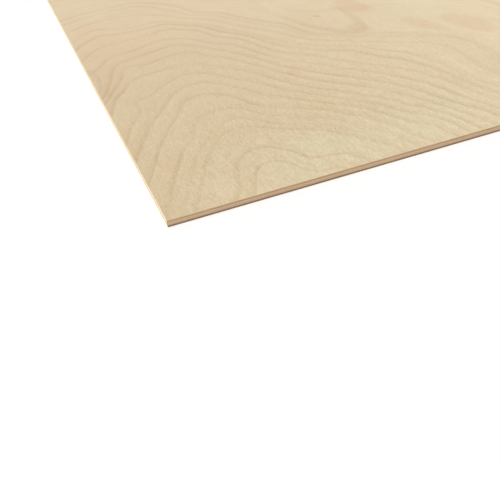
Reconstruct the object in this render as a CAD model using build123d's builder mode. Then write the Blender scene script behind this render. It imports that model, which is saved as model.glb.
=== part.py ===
from build123d import *
import os

# A 3 mm sheet of birch plywood for craft and laser work, lying flat.
#
# Three rotary-cut veneers are glued crosswise. The face and back veneers have their grain
# along the sheet's length, and the thicker core between them has its grain across it. The
# pressed board is sawn square on all four sides, and the arrises of its two sanded faces
# are eased by the last pass of the sander.
#
# Frame: +X across the sheet, +Y along its length and its face grain, +Z up through its
# thickness. The origin is the middle of the underside, which lies on the floor.

# Driving dimensions, in millimetres.
SHEET_WIDTH = 300.0
SHEET_LENGTH = 600.0
BACK_THICKNESS = 0.75
CORE_THICKNESS = 1.50
FACE_THICKNESS = 0.75
ARRIS = 0.15

# Heights of the two glue lines, counted from the underside.
lower_glue_line = BACK_THICKNESS
upper_glue_line = lower_glue_line + CORE_THICKNESS


def arris_of(veneer, side):
    """The four edges round the sanded side of an outer veneer, where it meets the saw cuts."""
    return veneer.faces().sort_by(Axis.Z)[side].edges()


# Back veneer: its lower side is sanded, and the sheet lies on it.
with BuildPart() as back_veneer:
    with BuildSketch(Plane.XY):
        Rectangle(SHEET_WIDTH, SHEET_LENGTH)
    extrude(amount=BACK_THICKNESS)
    chamfer(arris_of(back_veneer, 0), length=ARRIS)
back_veneer.part.label = "back_veneer"

# Core veneer: its grain runs across the sheet, and only its four sawn edges show.
with BuildPart() as core_veneer:
    with BuildSketch(Plane.XY.offset(lower_glue_line)):
        Rectangle(SHEET_WIDTH, SHEET_LENGTH)
    extrude(amount=CORE_THICKNESS)
core_veneer.part.label = "core_veneer"

# Face veneer: its upper side is sanded, and shows the figure of the wood.
with BuildPart() as face_veneer:
    with BuildSketch(Plane.XY.offset(upper_glue_line)):
        Rectangle(SHEET_WIDTH, SHEET_LENGTH)
    extrude(amount=FACE_THICKNESS)
    chamfer(arris_of(face_veneer, -1), length=ARRIS)
face_veneer.part.label = "face_veneer"

os.makedirs("parts", exist_ok=True)
for veneer in (back_veneer, core_veneer, face_veneer):
    export_step(veneer.part, f"parts/{veneer.part.label}.step")
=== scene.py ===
"""The looks of a 3 mm sheet of birch plywood that lies flat on a pale floor.

The three veneers of the frame stay as they are, and get node materials here: the figure of a
rotary-cut face, a plainer back, and sawn edges where end grain and long grain change places
from one veneer to the next.
"""
from math import cos, exp, pi, radians, sin

import bpy
from mathutils import Matrix, Vector


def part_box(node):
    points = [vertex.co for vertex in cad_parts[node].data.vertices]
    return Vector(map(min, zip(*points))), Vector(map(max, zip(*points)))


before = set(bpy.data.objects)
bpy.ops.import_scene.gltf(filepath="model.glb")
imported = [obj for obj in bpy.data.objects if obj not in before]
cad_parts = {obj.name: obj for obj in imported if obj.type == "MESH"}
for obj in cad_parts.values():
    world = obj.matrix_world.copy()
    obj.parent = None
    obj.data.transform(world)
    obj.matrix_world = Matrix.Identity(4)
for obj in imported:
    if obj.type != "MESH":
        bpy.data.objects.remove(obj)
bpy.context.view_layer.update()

MILLIMETRES = 1000.0

# The camera, in metres and degrees.
CAMERA_PLACE = (-0.1859, -0.5536, 0.1508)
CAMERA_HEADING = 15.27
CAMERA_PITCH = 33.44
CAMERA_ROLL = 8.44
CAMERA_LENS_MM = 51.56
CAMERA_NEAREST = 0.01

# A camera that isn't turned looks straight down, and is raised by this to look level.
DOWN_TO_LEVEL = 90.0

# The light: a soft key from the left and a little in front, in an even pale studio. The two
# shares add up to one, so a colour on a level surface renders as it is written.
KEY_TURN = 184.0
KEY_ELEVATION = 38.0
KEY_SPREAD = 16.0
KEY_SHARE = 0.60
STUDIO_SHARE = 1.0 - KEY_SHARE

# The floor, in metres: white to the camera, and pale in the light that bounces off it.
FLOOR_HALF = 6.0
FLOOR_GAP = 0.00005
FLOOR_BOUNCE = (0.8, 0.8, 0.8, 1.0)
WHITE = (1.0, 1.0, 1.0, 1.0)

# The axes that the fibres follow: across the sheet in the core, along it in the outer veneers.
CROSSWISE = 0
LENGTHWISE = 1

# The figure of the face. Its growth rings are contour lines of a height over the sheet, as on
# a map. Places are in millimetres from the front left corner, and a height is the place along
# the sheet where its ring crosses the crown, the line that the arches climb. The slope of a
# flank changes along the sheet, as far as the place in until.
CROWN_X = 55.0
RIGHT_FLANK = dict(softness=26.0, slope=2.55, change=-0.0035, until=120.0)
LEFT_FLANK = dict(softness=18.0, slope=2.50, change=-0.0060, until=400.0)

# No ring climbs past the plateau. The plateau climbs too, softly, towards the far end, where
# it has arches of its own, and towards the right side.
PLATEAU_HEIGHT = 388.0
PLATEAU_SOFTNESS = 14.0
PLATEAU_END = 260.0
FAR_CLIMB = dict(softness=60.0, climb=1.2)
PLATEAU_SIDE = 258.0
SIDE_CLIMB = dict(softness=24.0, climb=2.0)
FAR_CROWN_X = 212.0
FAR_ARCH_SOFTNESS = 26.0
FAR_ARCH_GROWTH = dict(low=290.0, high=430.0, bottom=0.0, top=1.5)

# Hills and hollows of the log that bend the rings: x, y, half width, half length, height.
SWELLS = (
    # By the front edge.
    (34, 8, 12, 18, 14),
    (54, -2, 10, 8, 8),
    (65, 33, 6, 7, 3),
    (69, 8, 8, 16, 12),
    (78, 24, 9, 10, 8),
    (90, 10, 6, 7, 4),
    (92, 14, 9, 14, -8),
    (96, 48, 16, 16, -14),
    (107, 52, 7, 8, 5),
    (108, 18, 22, 26, -20),
    (112, 6, 9, 12, -7),
    (122, 54, 12, 12, -5),
    (124, 16, 6, 14, 9),
    (142, 20, 12, 26, -16),
    (162, 18, 7, 12, -5),
    (171, 56, 6, 16, -4),
    # On the crown and the right flank.
    (32, 70, 7, 9, 4),
    (40, 92, 7, 7, -4),
    (42, 120, 12, 18, -5),
    (64, 88, 8, 10, -8),
    (75, 94, 9, 14, 11),
    (75, 145, 9, 28, 5),
    (85, 103, 22, 38, 12),
    (86, 79, 9, 10, 4),
    (113, 152, 18, 46, 15),
    (118, 105, 20, 26, 8),
    (140, 122, 12, 18, 6),
    (152, 64, 26, 22, -6),
    (165, 72, 8, 30, -4),
    (179, 98, 7, 12, 4),
    # On the left flank.
    (0, 122, 9, 20, -11),
    (0, 166, 7, 18, 22),
    (0, 212, 9, 14, -8),
    (2, 186, 9, 16, 9),
    (10, 148, 11, 18, -22),
    (10, 206, 9, 18, 6),
    (22, 138, 9, 11, -5),
    (22, 168, 9, 13, -16),
    (24, 198, 10, 18, -16),
    (28, 156, 10, 10, -4),
    (30, 124, 8, 20, 4),
    (34, 178, 12, 10, -7),
    (40, 230, 14, 9, 4),
    # Farther along.
    (8, 268, 26, 62, -20),
    (20, 298, 12, 14, -8),
    (25, 318, 20, 40, -6),
    (36, 244, 24, 14, 5),
    (36, 296, 12, 10, 4),
    (50, 262, 12, 7, 3),
    (54, 292, 16, 16, 6),
    (66, 224, 8, 9, -4),
    (69, 205, 8, 10, -7),
    (72, 274, 11, 20, -12),
    (76, 320, 14, 14, 8),
    (84, 213, 9, 12, 4),
    (87, 250, 12, 20, -13),
    (98, 294, 22, 20, 21),
    (106, 208, 12, 24, -9),
    (119, 260, 14, 22, 13),
    # Round the heart.
    (128, 230, 18, 20, 15),
    (150, 303, 28, 30, -58),
    (156, 190, 22, 28, 40),
    (157, 140, 14, 16, -14),
    (170, 164, 9, 15, 20),
    (198, 108, 32, 36, -42),
    (205, 190, 34, 36, -20),
)

# The same towards the far end, where the plateau is bent too.
FAR_SWELLS = (
    (34, 486, 30, 46, 18),
    (70, 560, 40, 36, -20),
    (92, 440, 24, 40, -16),
    (158, 500, 34, 46, 26),
    (214, 400, 30, 34, -16),
    (232, 560, 30, 40, 22),
    (262, 470, 34, 52, -24),
)

# At its half width a hill has fallen to this share of its height.
HILL_RIM = exp(-1.0)

# The rings of the face: height and darkness. The later ones follow a rule.
NEAR_RINGS = (
    (26, 1.00), (42, 0.96), (70, 0.66), (81, 0.35), (98, 0.50), (124, 0.84), (145, 1.00),
    (163, 0.90), (182, 0.94), (204, 0.98), (224, 1.08), (244, 0.84), (263, 0.76), (281, 0.98),
    (296, 0.48), (325, 0.52), (350, 0.55), (364, 0.78),
)
FAR_RINGS = dict(first=412, last=900, spacing=26, stray=5, strength=0.4, swing=0.2, beat=2.3)

# The late wood of a ring starts sharply, drops in its line and fades out in its shade. These
# widths are in millimetres of the sheet, and grow from ring to ring by a share of its height.
RING_ONSET = 0.8
ONSET_WIDENING = 0.0025
RING_LINE = 2.2
LINE_WIDENING = 0.009
RING_SHADE = 9.0

# How far a ring wobbles in millimetres, how flat the height may get before its rings stop
# growing wider, and the range in which a ring's darkness varies along it.
RING_WOBBLE = 1.4
LEAST_STEEPNESS = 0.5
DARKNESS_SPAN = (0.65, 1.25)

# The figure of the back: straighter rings over a crown of its own.
BACK_CROWN_X = 190.0
BACK_FLANK = dict(softness=60.0, slope=3.4, change=0.0, until=1.0)
BACK_SWELLS = (
    (150, 120, 60, 110, 34),
    (230, 330, 50, 120, -46),
    (70, 430, 60, 120, 52),
    (120, 560, 70, 90, -40),
)
BACK_RINGS = dict(first=20, last=900, spacing=34, stray=6, strength=0.5, swing=0.3, beat=1.7)

# Patches of the face: x, y, half width, half length, lean in degrees, softness, strength.
LENSES = (
    (212, 153, 7.5, 27, 10, 0.4, 0.68),
    (234, 136, 11.5, 30, 5, 0.35, 0.95),
    (176, 172, 10, 16, -8, 0.8, 0.65),
    (195, 223, 12, 27, -4, 0.5, 1.0),
    (202, 208, 5, 15, -8, 0.7, 0.6),
    (158, 216, 20, 46, 0, 0.8, 0.35),
)
ROSE_PATCHES = (
    (110, 127, 10, 19, 0, 1.0, 1.5),
    (149, 124, 11, 26, 0, 1.0, 1.0),
    (160, 154, 8, 30, -36, 1.0, 1.0),
    (92, 60, 20, 16, -20, 1.0, 0.8),
    (66, 64, 9, 9, 0, 1.0, 0.8),
    (12, 45, 7, 28, -12, 1.0, 0.8),
    (21, 124, 8, 32, -24, 1.0, 1.0),
    (44, 130, 6, 18, 0, 1.0, 0.6),
    (68, 172, 8, 24, 14, 1.0, 0.8),
    (10, 188, 14, 44, -8, 1.0, 1.4),
    (14, 318, 14, 22, 0, 1.0, 1.4),
    (41, 336, 8, 12, 0, 1.0, 1.3),
    (42, 238, 54, 66, 0, 1.0, 1.0),
    (8, 270, 36, 96, 0, 1.0, 1.2),
    (150, 320, 60, 60, 0, 1.0, 0.8),
    (80, 325, 120, 110, 0, 1.0, 0.5),
)
CREAM_PATCHES = (
    (226, 180, 28, 64, 0, 1.0, 1.1),
    (194, 164, 9, 30, 4, 1.0, 0.9),
    (28, 372, 12, 52, 4, 1.0, 0.9),
    (58, 360, 8, 22, 0, 1.0, 0.6),
    (84, 26, 11, 34, 45, 1.0, 0.8),
    (130, 20, 9, 20, 0, 1.0, 0.6),
    (85, 18, 95, 56, 0, 1.0, 1.3),
    (150, 30, 60, 80, 0, 1.0, 1.3),
    (186, 60, 16, 36, 0, 1.0, 0.6),
    (151, 254, 8, 24, -24, 1.0, 0.6),
)

# Where the lines of the rings are calm. Below 0 the strength makes them darker instead.
CALM_PATCHES = (
    (42, 240, 36, 190, 0, 0.8, 0.30),
    (36, 12, 10, 28, 0, 0.8, 0.8),
    (56, 182, 14, 9, 0, 0.8, 0.75),
    (24, 229, 16, 9, -10, 0.8, 0.6),
    (15, 40, 9, 46, -23, 0.7, -1.3),
    (16, 162, 7, 26, -33, 0.8, -0.6),
    (142, 150, 14, 24, 46, 0.8, 0.55),
    (124, 149, 9, 24, 29, 0.8, -0.6),
    (8, 250, 10, 16, -40, 0.8, -0.5),
    (208, 150, 50, 62, 0, 0.8, 0.7),
)

# The heart, where the innermost ring closes in a deep bay: x, y, half width, half length and
# lean. The width of its dark rim and that of the rim's outer edge are shares of those halves,
# and the rim fades along its far limbs.
HEART = (164, 240, 22.3, 82, 7)
HEART_EDGE = 0.09
HEART_RIM = 0.36
HEART_FADE = dict(low=250.0, high=190.0, bottom=0.3, top=1.15)

# One dark pin fleck, as a patch.
PIN_FLECK = (165.5, 217, 1.3, 6.0, 34, 0.6, 1.0)

# How pale the ground of the face is: palest at the right, then far away and in front. Each
# stretch has its start and end in millimetres, and the paleness at both.
PALE_RIGHT = (40.0, 230.0, 0.0, 1.0)
PALEST_RIGHT = (208.0, 240.0, 0.0, 0.5)
PALE_FAR = (190.0, 300.0, 0.0, 0.55)
LESS_TO_THE_RIGHT = (80.0, 150.0, 1.0, 0.55)
PALE_FRONT = (0.0, 60.0, 0.55, 0.0)
LESS_TO_THE_LEFT = (0.0, 40.0, 0.0, 1.0)

# Where the fibres are coarse, towards the front, and how strong they are elsewhere.
COARSE_PATCH = (90, 20, 250, 340, 0, 1.0, 0.84)
FINE_STRENGTH = 0.21
BACK_STRENGTH = 0.75

# Nearly all of a noise lies between the first two values, and most of it between the others.
NOISE_SPAN = (0.3, 0.7)
NOISE_MIDDLE = (0.35, 0.65)

# The noises, whose blotches have these sizes in millimetres. A noise with more detail has finer
# blotches inside its blotches, and the shift keeps it from looking like its neighbours.
WOBBLE = dict(sizes=(2.2, 14.0, 2.2), detail=2.0)
UNEVEN = dict(sizes=(30.0, 55.0, 30.0))
MINOR_LINES = dict(sizes=(6.0, 90.0, 90.0), detail=2.0, shift=6.4)
TINT_SIZES = (14.0, 22.0, 14.0)
FACE_TINT = dict(sizes=TINT_SIZES, shift=7.3)
CORE_TINT = dict(sizes=TINT_SIZES, shift=5.2)
BACK_TINT = dict(sizes=TINT_SIZES, shift=2.9)
FLECK = dict(across=1.3, length=13.0, detail=3.0, roughness=0.7, shift=3.1)
GRIT = dict(across=0.38, length=2.7, roughness=0.7, shift=8.6)
MOTTLE = dict(across=5.0, length=9.0, shift=5.9)
FIBRES = dict(across=0.25, length=6.0, detail=2.0, roughness=0.6, shift=1.7)
PORES = dict(sizes=(0.22, 0.22, 0.22), detail=2.0, roughness=0.6, shift=1.7)
SAW_MARKS = dict(sizes=(0.9, 0.9, 20.0), detail=3.0, roughness=0.6)
EDGE_TINTS = dict(sizes=(9.0, 9.0, 3.0), detail=2.0, shift=4.4)

# How much lighter or darker the grain, saw marks and tints make a sawn edge.
FIBRE_LIGHT = 0.12
PORE_LIGHT = 0.16
SAW_LIGHT = 0.10
EDGE_TINT_LIGHT = 0.10

# A painted highlight on the rim of the two sanded sides, the glue lines, and painted shade low
# on the edges.
HIGHLIGHT_RIM_WIDTH = 1.2
HIGHLIGHT_RIM_LIGHT = 0.025
GLUE_HALF = 0.06
PAINTED_FOOT_SHADE_RANGE = (0.4, 2.2)

# A surface takes the look of a left or right side, or of a level face, while the share of its
# normal that way grows from the first value to the second.
SIDE_FACING = (0.4, 0.6)
LEVEL_FACING = (0.8, 0.9)

# Colours, as written on a screen from 0 to 255.
DEEP_BIRCH = (212, 191, 154)
PALE_BIRCH = (221, 201, 164)
END_GRAIN = (206, 171, 131)
# The back's end grain is darkened with painted shade, as it sits at the foot of the edges.
BACK_END_GRAIN_WITH_PAINTED_SHADE = (173, 138, 97)
LONG_GRAIN = (224, 210, 178)
CORE_LONG_GRAIN = (234, 200, 162)
CORE_END_GRAIN = (214, 184, 142)

# The curve of the screen: its straight toe, and the power above it.
SCREEN_WHITE = 255
TOE_END = 0.04045
TOE_SLOPE = 12.92
CURVE_OFFSET = 0.055
CURVE_POWER = 2.4

# Tints: the shares of red, green and blue light that a place of another colour keeps.
LATE_WOOD = (0.917, 0.899, 0.868)
SHADE_WOOD = (0.977, 0.948, 0.930)
WARM_WOOD = (1.000, 0.985, 0.980)
ROSE_WOOD = (1.000, 0.965, 0.955)
LENS_WOOD = (0.950, 0.885, 0.850)
CREAM_WOOD = (0.995, 1.025, 1.035)
PIN_WOOD = (0.780, 0.740, 0.680)
FLECK_WOOD = (0.912, 0.886, 0.852)
GRIT_WOOD = (0.800, 0.735, 0.645)
MOTTLE_WOOD = (0.980, 0.972, 0.965)
MINOR_WOOD = (0.965, 0.955, 0.940)
# The painted shade at the foot of the sawn edges.
PAINTED_FOOT_SHADE = (0.860, 0.850, 0.840)
GLUE = (0.850, 0.820, 0.780)

# How rough the surfaces are, and how high the relief of their fibres is in metres.
FACE_ROUGHNESS = 0.50
EDGE_ROUGHNESS = 0.75
FACE_RELIEF = 0.00001
EDGE_RELIEF = 0.00004

# The vector operations whose result is a single number.
TO_A_NUMBER = ("DOT_PRODUCT", "LENGTH")

# The sockets of a Mix node that hold colours: its two inputs and its result.
MIX_FIRST = 6
MIX_SECOND = 7
MIX_RESULT = 2


class Wire:
    """An output socket that takes plain arithmetic, one node for each operation."""

    def __init__(self, socket):
        self.socket = socket
        self.tree = socket.id_data

    def maths(self, operation, *others):
        """The result of a Math node that takes this wire first."""
        made = node(self.tree, "ShaderNodeMath", enumerate((self, *others)), operation=operation)
        return Wire(made.outputs[0])

    def vector(self, operation, *others):
        """The result of a Vector Math node that takes this wire first."""
        entries = enumerate((self, *others))
        made = node(self.tree, "ShaderNodeVectorMath", entries, operation=operation)
        return Wire(made.outputs["Value" if operation in TO_A_NUMBER else "Vector"])

    def __add__(self, other):
        return self.maths("ADD", other)

    def __sub__(self, other):
        return self.maths("SUBTRACT", other)

    def __mul__(self, other):
        return self.maths("MULTIPLY", other)

    def __truediv__(self, other):
        return self.maths("DIVIDE", other)

    def root(self):
        return self.maths("SQRT")

    def magnitude(self):
        return self.maths("ABSOLUTE")

    def at_most(self, other):
        return self.maths("MINIMUM", other)

    def at_least(self, other):
        return self.maths("MAXIMUM", other)


def plug(tree, value, entry):
    """Links a wire to an input socket, or writes a plain number or colour on it."""
    if isinstance(value, Wire):
        tree.links.new(value.socket, entry)
    else:
        entry.default_value = value


def node(tree, kind, inputs=(), **settings):
    """Adds a shader node with its settings and its inputs, and returns it."""
    made = tree.nodes.new(kind)
    for name, value in settings.items():
        setattr(made, name, value)
    for name, value in dict(inputs).items():
        plug(tree, value, made.inputs[name])
    return made


def parts_of(place):
    """The x, y and z of a place or a direction."""
    made = node(place.tree, "ShaderNodeSeparateXYZ", {"Vector": place})
    return [Wire(output) for output in made.outputs]


def combined(x, y, z=0.0):
    """A vector with the given x, y and z."""
    made = node(x.tree, "ShaderNodeCombineXYZ", {"X": x, "Y": y, "Z": z})
    return Wire(made.outputs[0])


def scaled(vector, amount):
    """A vector or a colour times an amount."""
    inputs = {0: vector, "Scale": amount}
    made = node(vector.tree, "ShaderNodeVectorMath", inputs, operation="SCALE")
    return Wire(made.outputs[0])


def added(wires):
    """The sum of wires, each of which is made when its turn comes."""
    total = next(wires)
    for wire in wires:
        total = total + wire
    return total


def graded(value, low, high, bottom=0.0, top=1.0, shape="SMOOTHSTEP"):
    """The value between low and high, carried over to bottom and top with soft ends."""
    inputs = {"Value": value, "From Min": low, "From Max": high, "To Min": bottom, "To Max": top}
    made = node(value.tree, "ShaderNodeMapRange", inputs, interpolation_type=shape)
    return Wire(made.outputs["Result"])


def between(factor, first, second):
    """A number between two others, as the factor goes from 0 to 1."""
    return factor * (second - first) + first


def linear(level):
    """The light of a screen level, as a share of white."""
    share = level / SCREEN_WHITE
    if share <= TOE_END:
        return share / TOE_SLOPE
    return ((share + CURVE_OFFSET) / (1 + CURVE_OFFSET)) ** CURVE_POWER


def paint(red, green, blue):
    """A screen colour from 0 to 255 as the linear colour that a socket takes."""
    return (linear(red), linear(green), linear(blue), 1.0)


def paint_wire(tree, colour):
    """A screen colour as a wire."""
    made = node(tree, "ShaderNodeRGB")
    made.outputs[0].default_value = paint(*colour)
    return Wire(made.outputs[0])


def mixed(factor, first, second, blend="MIX"):
    """Two colours blended by a factor, which may lie past 0 and 1."""
    tree = factor.tree
    made = node(tree, "ShaderNodeMix", data_type="RGBA", blend_type=blend, clamp_factor=False)
    plug(tree, factor, made.inputs["Factor"])
    plug(tree, first, made.inputs[MIX_FIRST])
    plug(tree, second, made.inputs[MIX_SECOND])
    return Wire(made.outputs[MIX_RESULT])


def tinted(colour, factor, shares):
    """The colour with only some shares of its light kept, as far as the factor says."""
    return mixed(factor, colour, (*shares, 1.0), "MULTIPLY")


def noise(place, sizes, detail=1.0, roughness=0.5, shift=0.0):
    """Noise from 0 to 1 whose blotches have about the given sizes in millimetres."""
    scales = tuple(1.0 / size for size in sizes)
    moved = place.vector("MULTIPLY_ADD", scales, (shift, shift, shift))
    inputs = {"Vector": moved, "Scale": 1.0, "Detail": detail, "Roughness": roughness}
    made = node(place.tree, "ShaderNodeTexNoise", inputs)
    return Wire(made.outputs["Fac"])


def fibre_noise(place, axis, across, length, **settings):
    """Noise that is drawn out along the fibres, which follow the given axis."""
    sizes = [across] * 3
    sizes[axis] = length
    return noise(place, sizes, **settings)


def around_zero(value):
    """Noise stretched to about -0.5 to 0.5."""
    return graded(value, *NOISE_SPAN, -0.5, 0.5, "LINEAR")


def around_one(value, depth):
    """Noise made into an amount around 1, with the given depth from its least to its most."""
    return graded(value, *NOISE_SPAN, 1.0 - depth / 2, 1.0 + depth / 2, "LINEAR")


def sheet_place(tree):
    """The point on the sheet, in millimetres from its front left corner on the floor."""
    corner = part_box("back_veneer")[0]
    seen = Wire(node(tree, "ShaderNodeTexCoord").outputs["Object"])
    scale = (MILLIMETRES,) * 3
    shift = tuple(-MILLIMETRES * value for value in corner)
    return seen.vector("MULTIPLY_ADD", scale, shift)


def ground_of(place):
    """The x and y of a place and a 1, so that one dot product can turn, scale and shift it."""
    x, y, _ = parts_of(place)
    return combined(x, y, 1.0)


def arch(run, softness):
    """How far a rounded arch drops at a distance from its crown, and its slope there."""
    reach = (run * run + softness ** 2).root()
    return reach - softness, run / reach


def ramp(value, softness, climb):
    """A climb that sets in softly where the value is 0: its height and its slope."""
    bend = (value * value + softness ** 2).root()
    return (value + bend) * (climb / 2), (value / bend + 1.0) * (climb / 2)


def flank(run, y, softness, slope, change, until):
    """One flank of the arches: its height over the crown, its slope across and lengthwise."""
    drop, tilt = arch(run, softness)
    steepness = y.at_most(until) * change + slope
    return drop * steepness, tilt * steepness, drop * change


def hillside(place, crown_x, right_flank, left_flank):
    """The height and the slope of the arches themselves, before any swell is added."""
    x, y, _ = parts_of(place)
    height, across, lengthwise = y, 0.0, 1.0
    runs = ((x - crown_x).at_least(0.0), (x - crown_x).at_most(0.0))
    for run, shape in zip(runs, (right_flank, left_flank)):
        higher, east, north = flank(run, y, **shape)
        height = higher + height
        across = east + across
        lengthwise = north + lengthwise
    return height, combined(across, lengthwise)


def swell(height, slope, ground, x, y, half_width, half_length, rise):
    """The height and the slope with one gentle hill or hollow added."""
    scales = (1.0 / half_width, 1.0 / half_length, 0.0)
    shift = (-x / half_width, -y / half_length, 0.0)
    local = ground.vector("MULTIPLY_ADD", scales, shift)
    square = local.vector("DOT_PRODUCT", local)
    falling = node(ground.tree, "ShaderNodeMath", {0: HILL_RIM, 1: square}, operation="POWER")
    bell = Wire(falling.outputs[0])
    steeper = (-2.0 * rise / half_width, -2.0 * rise / half_length, 0.0)
    slope = scaled(local, bell).vector("MULTIPLY_ADD", steeper, slope)
    return bell.maths("MULTIPLY_ADD", rise, height), slope


def swelled(height, slope, ground, hills):
    """The height and the slope with several hills and hollows added."""
    for hill in hills:
        height, slope = swell(height, slope, ground, *hill)
    return height, slope


def plateau(place):
    """The height that no ring of the face climbs past, and its slope."""
    x, y, _ = parts_of(place)
    climb, lengthwise = ramp(y - PLATEAU_END, **FAR_CLIMB)
    side, across = ramp(x - PLATEAU_SIDE, **SIDE_CLIMB)
    drop, tilt = arch(x - FAR_CROWN_X, FAR_ARCH_SOFTNESS)
    growth = graded(y, **FAR_ARCH_GROWTH)
    height = climb + side + drop * growth + PLATEAU_HEIGHT
    return height, combined(across + tilt * growth, lengthwise)


def under_plateau(height, slope, place):
    """The height and the slope where they are softly held below the plateau."""
    ceiling, ceiling_slope = plateau(place)
    apart = height - ceiling
    meeting = (apart * apart + PLATEAU_SOFTNESS ** 2).root()
    above = apart / meeting * 0.5 + 0.5
    change = ceiling_slope.vector("SUBTRACT", slope)
    slope = scaled(change, above).vector("ADD", slope)
    return (height + ceiling - meeting) * 0.5, slope


def face_height(place):
    """The height whose contour lines are the growth rings of the face, and how steep it is."""
    ground = ground_of(place)
    height, slope = hillside(place, CROWN_X, RIGHT_FLANK, LEFT_FLANK)
    height, slope = swelled(height, slope, ground, SWELLS)
    height, slope = under_plateau(height, slope, place)
    height, slope = swelled(height, slope, ground, FAR_SWELLS)
    return height, slope.vector("LENGTH")


def back_height(place):
    """The height whose contour lines are the growth rings of the back, and how steep it is."""
    height, slope = hillside(place, BACK_CROWN_X, BACK_FLANK, BACK_FLANK)
    height, slope = swelled(height, slope, ground_of(place), BACK_SWELLS)
    return height, slope.vector("LENGTH")


def ruled_rings(first, last, spacing, stray, strength, swing, beat):
    """Rings that stray from an even spacing, and whose darkness swings from ring to ring."""
    return tuple(
        (at + stray * sin(at), strength + swing * sin(beat * at))
        for at in range(first, last, spacing)
    )


def late_wood(height, steepness, rings):
    """How dark the lines of the rings are, and how deep the shade outside them is."""
    lines, shades = 0.0, 0.0
    for at, strength in rings:
        past = (height - at) / steepness
        onset = graded(past, -RING_ONSET - ONSET_WIDENING * at, 0.0, 0.0, strength)
        end = RING_LINE + LINE_WIDENING * at
        lines = onset - graded(past, 0.0, end, 0.0, strength) + lines
        shades = onset - graded(past, 0.0, RING_SHADE, 0.0, strength) + shades
    return lines, shades


def figured(place, height, steepness, rings):
    """The uneven darkness of the lines and of the shades of the rings."""
    steepness = steepness.at_least(LEAST_STEEPNESS)
    wobble = (noise(place, **WOBBLE) - 0.5) * RING_WOBBLE * steepness
    lines, shades = late_wood(height + wobble, steepness, rings)
    uneven = graded(noise(place, **UNEVEN), *NOISE_SPAN, *DARKNESS_SPAN)
    return lines * uneven, shades * uneven


def minor_lines(place, height):
    """Faint light and dark lines between the rings, from about -0.5 to 0.5."""
    x, y, _ = parts_of(place)
    return around_zero(noise(combined(height, y, x), **MINOR_LINES))


def oval(ground, x, y, half_width, half_length, lean):
    """How far out a place is in a leaning oval: 0 in its middle and 1 on its rim."""
    level, steep = cos(radians(lean)), sin(radians(lean))
    local = []
    for east, north, half in ((level, steep, half_width), (-steep, level, half_length)):
        row = (east / half, north / half, -(east * x + north * y) / half)
        local.append(ground.vector("DOT_PRODUCT", row))
    return combined(*local).vector("LENGTH")


def patch(ground, x, y, half_width, half_length, lean, softness, strength):
    """A leaning oval that is strong in its middle and gone at its rim."""
    reach = oval(ground, x, y, half_width, half_length, lean)
    return graded(reach, 1.0 - softness, 1.0, strength, 0.0)


def patches(ground, entries):
    """The sum of several patches."""
    return added(patch(ground, *entry) for entry in entries)


def heart(ground):
    """The dark rim of the heart, which fades out along its far limbs."""
    reach = oval(ground, *HEART)
    inside = graded(reach, 1.0 - HEART_EDGE, 1.0, 1.0, 0.0)
    core = graded(reach, 1.0 - HEART_RIM, 1.0 - HEART_EDGE, 1.0, 0.0)
    _, y, _ = parts_of(ground)
    return (inside - core) * graded(y, **HEART_FADE)


def paleness(place):
    """How pale the ground of the face is, from 0 to about 1."""
    x, y, _ = parts_of(place)
    right = graded(x, *PALE_RIGHT) + graded(x, *PALEST_RIGHT)
    far = graded(y, *PALE_FAR) * graded(x, *LESS_TO_THE_RIGHT)
    front = graded(y, *PALE_FRONT) * graded(x, *LESS_TO_THE_LEFT)
    return right + far + front


def painted_rim_highlight(place):
    """The painted highlight on the rim of a sanded side: how much lighter it is than the rest.
    """
    low, high = (Vector(corner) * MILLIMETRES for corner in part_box("back_veneer"))
    width, length, _ = high - low
    x, y, _ = parts_of(place)
    inwards = x.at_most((x - width) * -1.0).at_most(y).at_most((y - length) * -1.0)
    return graded(inwards, 0.0, HIGHLIGHT_RIM_WIDTH, 1.0 + HIGHLIGHT_RIM_LIGHT, 1.0)


def fibred(place, colour, axis, strength):
    """The colour with the fleck and the grit of the fibres, which follow the given axis."""
    fleck = fibre_noise(place, axis, **FLECK)
    grit = fibre_noise(place, axis, **GRIT)
    mottle = fibre_noise(place, axis, **MOTTLE)
    colour = tinted(colour, around_zero(mottle), MOTTLE_WOOD)
    colour = tinted(colour, around_zero(fleck) * strength, FLECK_WOOD)
    return tinted(colour, around_zero(grit) * strength, GRIT_WOOD)


def warmth(place, tint):
    """A slow change of tint, from 0 to 1."""
    return graded(noise(place, **tint), *NOISE_MIDDLE)


def face_wood(place):
    """The colour of the face veneer, seen from above."""
    ground = ground_of(place)
    height, steepness = face_height(place)
    lines, shades = figured(place, height, steepness, NEAR_RINGS + ruled_rings(**FAR_RINGS))
    lines = lines - lines * patches(ground, CALM_PATCHES)
    warm = warmth(place, FACE_TINT)
    colour = mixed(paleness(place), paint(*DEEP_BIRCH), paint(*PALE_BIRCH))
    colour = tinted(colour, warm, WARM_WOOD)
    colour = tinted(colour, patches(ground, CREAM_PATCHES), CREAM_WOOD)
    colour = tinted(colour, patches(ground, ROSE_PATCHES), ROSE_WOOD)
    colour = tinted(colour, patches(ground, LENSES), LENS_WOOD)
    colour = tinted(colour, shades, SHADE_WOOD)
    colour = tinted(colour, lines + heart(ground), LATE_WOOD)
    colour = tinted(colour, minor_lines(place, height), MINOR_WOOD)
    colour = tinted(colour, patch(ground, *PIN_FLECK), PIN_WOOD)
    strength = patch(ground, *COARSE_PATCH) + FINE_STRENGTH
    # A painted highlight lightens the rim of the sanded face.
    return scaled(fibred(place, colour, LENGTHWISE, strength), painted_rim_highlight(place))


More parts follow.
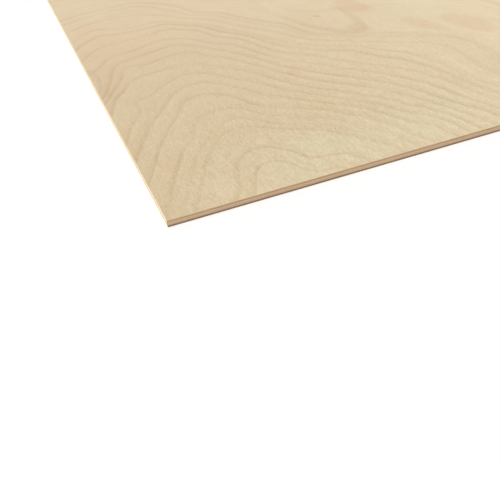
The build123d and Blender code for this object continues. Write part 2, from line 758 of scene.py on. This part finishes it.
def back_wood(place):
    """The colour of the back veneer, seen from below."""
    height, steepness = back_height(place)
    lines, shades = figured(place, height, steepness, ruled_rings(**BACK_RINGS))
    colour = mixed(warmth(place, BACK_TINT), paint(*DEEP_BIRCH), paint(*PALE_BIRCH))
    colour = tinted(colour, shades, SHADE_WOOD)
    colour = tinted(colour, lines, LATE_WOOD)
    colour = tinted(colour, minor_lines(place, height), MINOR_WOOD)
    # A painted highlight lightens the rim of the sanded back.
    return scaled(fibred(place, colour, LENGTHWISE, BACK_STRENGTH), painted_rim_highlight(place))


def core_wood(place):
    """The colour of the core veneer on the two sides that are glued."""
    warm = warmth(place, CORE_TINT)
    colour = mixed(warm, paint(*CORE_END_GRAIN), paint(*CORE_LONG_GRAIN))
    return fibred(place, colour, CROSSWISE, BACK_STRENGTH)


def glue_lines(place):
    """How dark the two thin glue lines between the veneers are."""
    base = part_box("back_veneer")[0][2]
    _, _, z = parts_of(place)
    levels = (MILLIMETRES * (corner[2] - base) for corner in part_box("core_veneer"))
    return added(graded((z - level).magnitude(), 0.0, GLUE_HALF, 1.0, 0.0) for level in levels)


def edge_wood(place, colour, grain):
    """The colour of a sawn edge: its own grain, saw marks, slow tints, the glue lines, and
    painted shade low down.
    """
    marks = around_one(noise(place, **SAW_MARKS), SAW_LIGHT)
    slow = around_one(noise(place, **EDGE_TINTS), EDGE_TINT_LIGHT)
    wood = scaled(paint_wire(place.tree, colour), grain * marks * slow)
    _, _, z = parts_of(place)
    # Painted shade: the edge gets darker towards its foot.
    low = graded(z, *PAINTED_FOOT_SHADE_RANGE, 1.0, 0.0)
    return tinted(tinted(wood, low, PAINTED_FOOT_SHADE), glue_lines(place), GLUE)


def end_grain(place, colour):
    """An edge that cuts across the fibres, full of fine pores."""
    return edge_wood(place, colour, around_one(noise(place, **PORES), PORE_LIGHT))


def long_grain(place, colour, axis):
    """An edge that runs along the fibres, which follow the given axis."""
    fibres = fibre_noise(place, axis, **FIBRES)
    return edge_wood(place, colour, around_one(fibres, FIBRE_LIGHT))


def by_side(tree, level, ends, sides):
    """The colour for where a surface faces, and how level it is, from 0 to 1.

    The three colours are for level surfaces, for the front and rear, and for left and right.
    """
    normal = Wire(node(tree, "ShaderNodeTexCoord").outputs["Normal"])
    facing_x, _, facing_z = parts_of(normal.vector("ABSOLUTE"))
    edge = mixed(graded(facing_x, *SIDE_FACING), ends, sides)
    flat = graded(facing_z, *LEVEL_FACING)
    return mixed(flat, edge, level), flat


def veneer_material(name, grain_axis, wood, ends, sides):
    """The material of one veneer, made of the colours of its sides."""
    material = bpy.data.materials.new(name)
    material.use_nodes = True
    tree = material.node_tree
    place = sheet_place(tree)
    streaks = fibre_noise(place, grain_axis, **FLECK)
    colour, flat = by_side(tree, wood(place), ends(place), sides(place))
    relief = between(flat, EDGE_RELIEF, FACE_RELIEF)
    bump = node(tree, "ShaderNodeBump", {"Height": streaks * relief, "Distance": 1.0})
    shader = tree.nodes["Principled BSDF"]
    plug(tree, colour, shader.inputs["Base Color"])
    plug(tree, between(flat, EDGE_ROUGHNESS, FACE_ROUGHNESS), shader.inputs["Roughness"])
    tree.links.new(bump.outputs["Normal"], shader.inputs["Normal"])
    return material


def face_material():
    """The face veneer: its grain runs along the sheet."""
    return veneer_material(
        "face_birch",
        LENGTHWISE,
        wood=face_wood,
        ends=lambda place: end_grain(place, END_GRAIN),
        sides=lambda place: long_grain(place, LONG_GRAIN, LENGTHWISE),
    )


def back_material():
    """The back veneer: its grain runs along the sheet."""
    return veneer_material(
        "back_birch",
        LENGTHWISE,
        wood=back_wood,
        # The end grain of the back carries painted shade.
        ends=lambda place: end_grain(place, BACK_END_GRAIN_WITH_PAINTED_SHADE),
        sides=lambda place: long_grain(place, LONG_GRAIN, LENGTHWISE),
    )


def core_material():
    """The core veneer: its grain runs across the sheet."""
    return veneer_material(
        "core_birch",
        CROSSWISE,
        wood=core_wood,
        ends=lambda place: long_grain(place, CORE_LONG_GRAIN, CROSSWISE),
        sides=lambda place: end_grain(place, CORE_END_GRAIN),
    )


def dress(name, material):
    """Puts a material on a node of the frame."""
    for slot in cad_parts[name].material_slots:
        slot.material = material


def make_floor():
    """A white floor that keeps the shadow of the sheet."""
    bpy.ops.mesh.primitive_plane_add(size=2 * FLOOR_HALF, location=(0, 0, -FLOOR_GAP))
    floor = bpy.context.object
    floor.name = "floor"
    material = bpy.data.materials.new("floor_white")
    material.use_nodes = True
    tree = material.node_tree
    tree.nodes.remove(tree.nodes["Principled BSDF"])
    seen = Wire(node(tree, "ShaderNodeLightPath").outputs["Is Camera Ray"])
    diffuse = node(tree, "ShaderNodeBsdfDiffuse", {"Color": mixed(seen, FLOOR_BOUNCE, WHITE)})
    tree.links.new(diffuse.outputs[0], tree.nodes["Material Output"].inputs["Surface"])
    floor.data.materials.append(material)


def make_studio():
    """An even pale studio, which is white where it is seen or mirrored."""
    world = bpy.data.worlds.new("studio")
    bpy.context.scene.world = world
    world.use_nodes = True
    tree = world.node_tree
    path = node(tree, "ShaderNodeLightPath")
    seen = Wire(path.outputs["Is Camera Ray"]).at_least(Wire(path.outputs["Is Glossy Ray"]))
    background = tree.nodes["Background"]
    background.inputs["Color"].default_value = WHITE
    plug(tree, between(seen, STUDIO_SHARE, 1.0), background.inputs["Strength"])


def make_key():
    """The soft key lamp."""
    turn, elevation = radians(KEY_TURN), radians(KEY_ELEVATION)
    lamp = bpy.data.lights.new("key", "SUN")
    lamp.energy = pi * KEY_SHARE / sin(elevation)
    lamp.angle = radians(KEY_SPREAD)
    key = bpy.data.objects.new("key", lamp)
    level = cos(elevation)
    towards = Vector((level * cos(turn), level * sin(turn), sin(elevation)))
    key.rotation_euler = towards.to_track_quat("Z", "Y").to_euler()
    bpy.context.collection.objects.link(key)


def make_camera():
    """The camera above the front left corner, which looks down along the sheet."""
    data = bpy.data.cameras.new("camera")
    data.lens = CAMERA_LENS_MM
    data.clip_start = CAMERA_NEAREST
    camera = bpy.data.objects.new("camera", data)
    turned = Matrix.Rotation(radians(-CAMERA_HEADING), 4, "Z")
    pitched = Matrix.Rotation(radians(DOWN_TO_LEVEL - CAMERA_PITCH), 4, "X")
    rolled = Matrix.Rotation(radians(-CAMERA_ROLL), 4, "Z")
    camera.matrix_world = Matrix.Translation(CAMERA_PLACE) @ turned @ pitched @ rolled
    bpy.context.collection.objects.link(camera)
    bpy.context.scene.camera = camera


dress("face_veneer", face_material())
dress("core_veneer", core_material())
dress("back_veneer", back_material())
make_floor()
make_studio()
make_key()
make_camera()
bpy.context.scene.view_settings.view_transform = "Standard"
